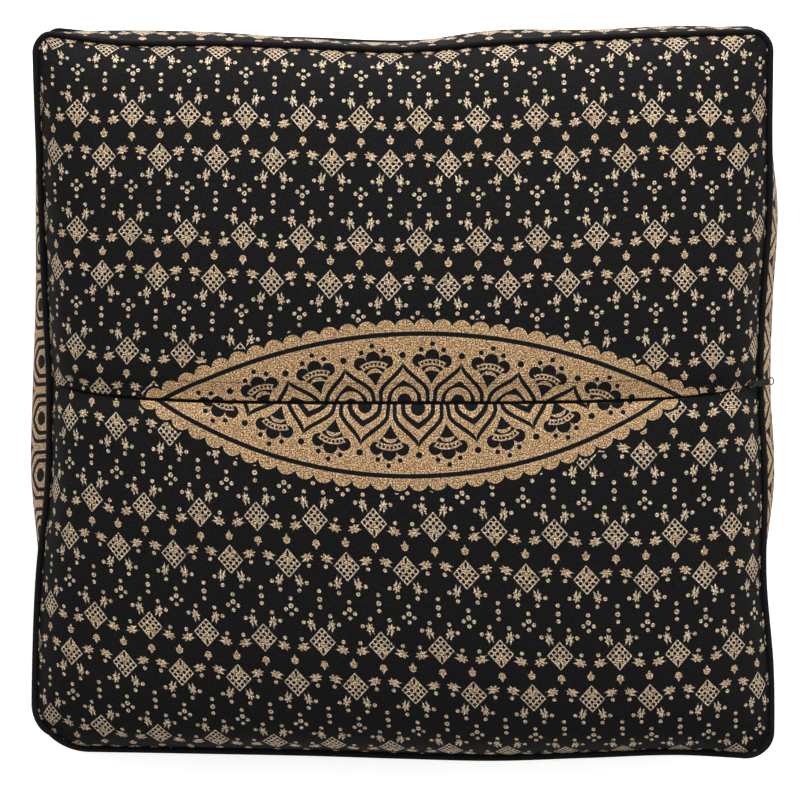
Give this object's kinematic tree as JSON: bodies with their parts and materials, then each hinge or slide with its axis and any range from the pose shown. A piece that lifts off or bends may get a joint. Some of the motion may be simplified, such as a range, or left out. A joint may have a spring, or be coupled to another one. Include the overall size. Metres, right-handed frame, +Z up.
{
  "type": "floor cushion cover",
  "caption": "Square box-edged floor cushion cover on its filling, with piped edges and a lapped zip across the face.",
  "frame": {"origin": "centre of the cushion's box, in the plane it rests on", "axes": "+X along the zip to its pull, +Y across the zip to the half with the folded lip, +Z up out of the zip face"},
  "size_m": [0.9012, 0.8863, 0.2179],
  "materials": {
    "printed_cotton": "matt black cotton with a gold print",
    "black_cotton": "matt black bias cloth",
    "dark_metal": "black lacquered zip metal"
  },
  "bodies": {
    "root": {"cushion_body": "printed_cotton", "piping_face": "black_cotton", "piping_base": "black_cotton", "zip_slider": "dark_metal", "zip_pull": "dark_metal"}
  },
  "joints": []
}
